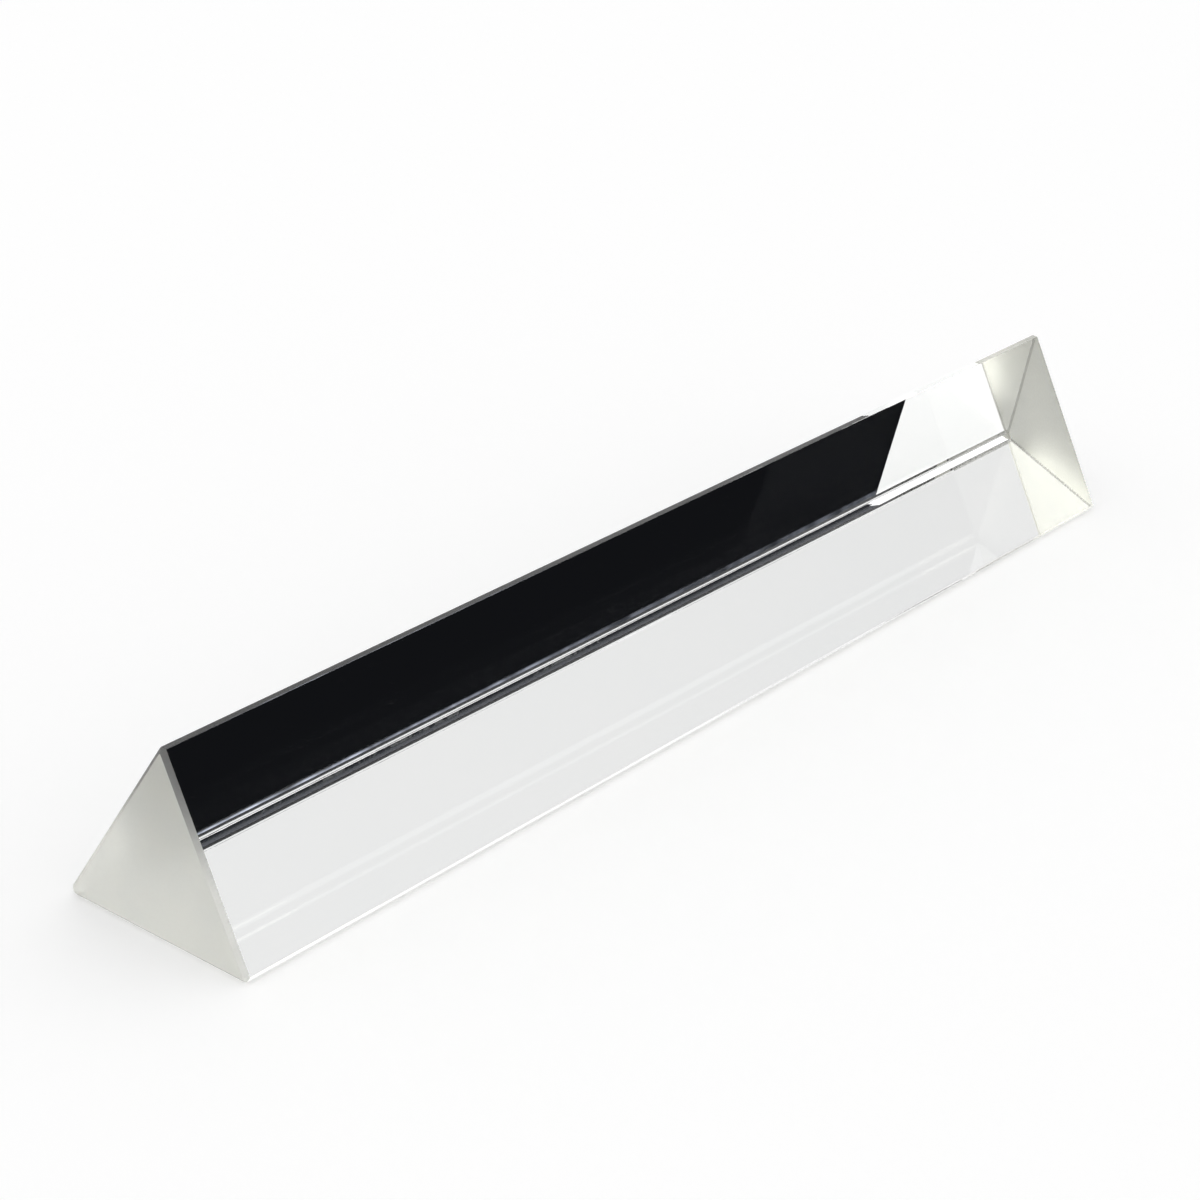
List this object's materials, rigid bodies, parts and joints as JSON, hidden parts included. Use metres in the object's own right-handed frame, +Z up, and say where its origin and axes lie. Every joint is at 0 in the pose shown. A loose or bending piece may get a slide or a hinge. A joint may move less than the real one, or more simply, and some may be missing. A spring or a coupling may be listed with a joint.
{
  "type": "equilateral prism",
  "caption": "Long solid bar of clear optical glass with an equilateral triangular section, polished faces, ground ends and bevelled edges, for bending or splitting light.",
  "frame": {"origin": "centre of the base face, which the prism lies on", "axes": "+X along the prism's length, +Y towards its back face, +Z up through its top edge"},
  "size_m": [0.2, 0.03, 0.0262],
  "materials": {
    "optical_glass": "clear borosilicate crown glass, three long faces and their bevels polished, both end faces and the bevels round them fine ground"
  },
  "bodies": {
    "root": {"glass_prism": "optical_glass"}
  },
  "joints": []
}
